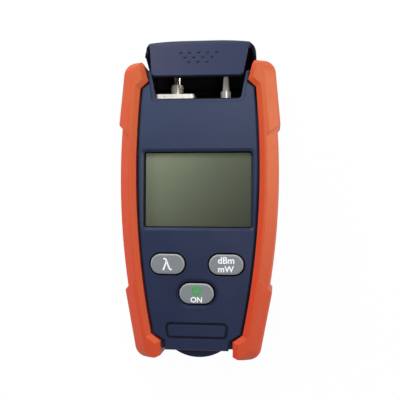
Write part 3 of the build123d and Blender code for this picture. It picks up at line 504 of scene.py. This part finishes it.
def key_centre(node):
    """Middle of a key in the plane of the panel."""
    low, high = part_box(node)
    return ((low[0] + high[0]) / 2, (low[1] + high[1]) / 2)


legend("wavelength_legend", "λ", 4.8 * MM, 0.0, THIN_STROKE, "wavelength_key")
legend("unit_legend_upper", "dBm", 2.6 * MM, 1.7 * MM, BOLD_STROKE, "unit_key")
legend("unit_legend_lower", "mW", 2.5 * MM, -1.7 * MM, BOLD_STROKE, "unit_key")
legend("power_legend", "ON", 2.2 * MM, -2.35 * MM, BOLD_STROKE, "power_key")

# Power symbol: a ring open at its top, and a bar from its middle up through the gap
symbol_at = np.array(key_centre("power_key")) + np.array((0.0, SYMBOL_RISE))
turn = np.linspace(SYMBOL_GAP, 2 * pi - SYMBOL_GAP, SYMBOL_STEPS)
outwards = np.stack((np.sin(turn), np.cos(turn)), axis=-1)
ink_line("power_symbol_ring", symbol_at + SYMBOL_RADIUS * outwards, outwards, SYMBOL_LINE, "power_key")
bar_ends = symbol_at + np.array(((0.0, 0.0), (0.0, BAR_LENGTH)))
ink_line("power_symbol_bar", bar_ends, np.array(((1.0, 0.0), (1.0, 0.0))), BAR_LINE, "power_key")

# Floor: a round dish, a flat disc whose edge rises along a quarter of an ellipse. It is white to the eye
# and in reflections, with the shadow of the object left in it, and clear from below.
floor_mesh = bpy.data.meshes.new("floor")
lean = np.linspace(0.0, pi / 2, FLOOR_ROWS)[:, None]
around = np.linspace(0.0, 2 * pi, FLOOR_COLUMNS, endpoint=False)
reach = FLOOR_FLAT + (FLOOR_REACH - FLOOR_FLAT) * np.sin(lean)
dish = np.broadcast_arrays(reach * np.cos(around), reach * np.sin(around), FLOOR_RISE * (1.0 - np.cos(lean)))
dish_points = np.stack(dish, axis=-1).reshape(-1, 3) - (0.0, 0.0, FLOOR_DROP)
ring = np.arange(FLOOR_ROWS * FLOOR_COLUMNS).reshape(FLOOR_ROWS, FLOOR_COLUMNS)
next_along = np.roll(ring, -1, axis=1)
slope = np.stack((ring[:-1], ring[1:], next_along[1:], next_along[:-1]), axis=-1).reshape(-1, 4)
floor_mesh.from_pydata(dish_points.tolist(), [], [ring[0].tolist()] + slope.tolist())
floor = placed("floor", floor_mesh)
paper = bpy.data.materials.new("white_paper")
paper.use_nodes = True
paper.node_tree.nodes.clear()
start = Flow(paper.node_tree, None)
seen = start.node("ShaderNodeLightPath", output="Is Camera Ray")
glossy = start.node("ShaderNodeLightPath", output="Is Glossy Ray")
through = start.node("ShaderNodeLightPath", output="Is Transmission Ray")
shown = (seen + glossy + through).clamp() * (1.0 - SHADOW_SHARE)
diffuse = start.node("ShaderNodeBsdfDiffuse", {}, {"Color": FLOOR_GREY})
glow = start.node("ShaderNodeEmission", {}, {"Color": WHITE, "Strength": 1.0})
mixed = start.node("ShaderNodeMixShader", {}, {0: shown, 1: diffuse, 2: glow})
from_below = start.node("ShaderNodeNewGeometry", output="Backfacing")
clear = start.node("ShaderNodeBsdfTransparent")
one_sided = start.node("ShaderNodeMixShader", {}, {0: from_below, 1: mixed, 2: clear})
start.node("ShaderNodeOutputMaterial", {}, {"Surface": one_sided})
floor_mesh.materials.append(paper)

world = bpy.data.worlds.new("studio")
bpy.context.scene.world = world
world.use_nodes = True
world.node_tree.nodes.clear()
sky = Flow(world.node_tree, None)
sky_glow = sky.node("ShaderNodeBackground", {}, {"Color": WHITE, "Strength": SKY_STRENGTH})
sky.node("ShaderNodeOutputWorld", {}, {"Surface": sky_glow})


def soft_lamp(name, place, size, power, colour=WHITE, shine=True):
    """Square soft lamp at a place, turned to the middle of the meter; without shine it leaves no gloss."""
    lamp = bpy.data.lights.new(name, "AREA")
    lamp.shape = "SQUARE"
    lamp.size = size
    lamp.energy = power
    lamp.color = colour[:3]
    made = placed(name, lamp)
    made.location = place
    aim = Vector((0, 0, 20 * MM)) - Vector(place)
    made.rotation_euler = aim.to_track_quat("-Z", "Y").to_euler()
    made.visible_glossy = shine
    return made


soft_lamp("upper_lamp", (-0.05, 0.32, 0.50), 0.2, 1.6)
soft_lamp("bay_lamp", (0.15, 0.12, 0.55), 0.15, 0.6)
soft_lamp("front_lamp", (0.19, -0.10, 0.55), 0.12, 0.55)
soft_lamp("top_card", (-0.22, 0.60, 0.16), 0.2, 1.6)
soft_lamp("left_lamp", (-0.50, 0.02, 0.32), 0.3, 1.5, shine=False)
soft_lamp("right_card", (0.60, 0.12, 0.10), 0.2, 1.8, colour=(1.0, 0.95, 0.8, 1.0))

camera = bpy.data.cameras.new("camera")
camera.sensor_width = SENSOR_MM
camera.lens = SENSOR_MM * FOCAL_PIXELS / IMAGE_SIDE
camera.clip_start = CAMERA_NEAR
viewer = placed("camera", camera)
back = CAMERA_BACK.normalized()
right = CAMERA_UP.cross(back).normalized()
turned = Matrix((right, back.cross(right), back)).transposed().to_4x4()
viewer.matrix_world = Matrix.Translation(CAMERA_FROM_PANEL + Vector((0, PANEL_MID, FRONT))) @ turned
bpy.context.scene.camera = viewer
bpy.context.scene.view_settings.view_transform = "Standard"
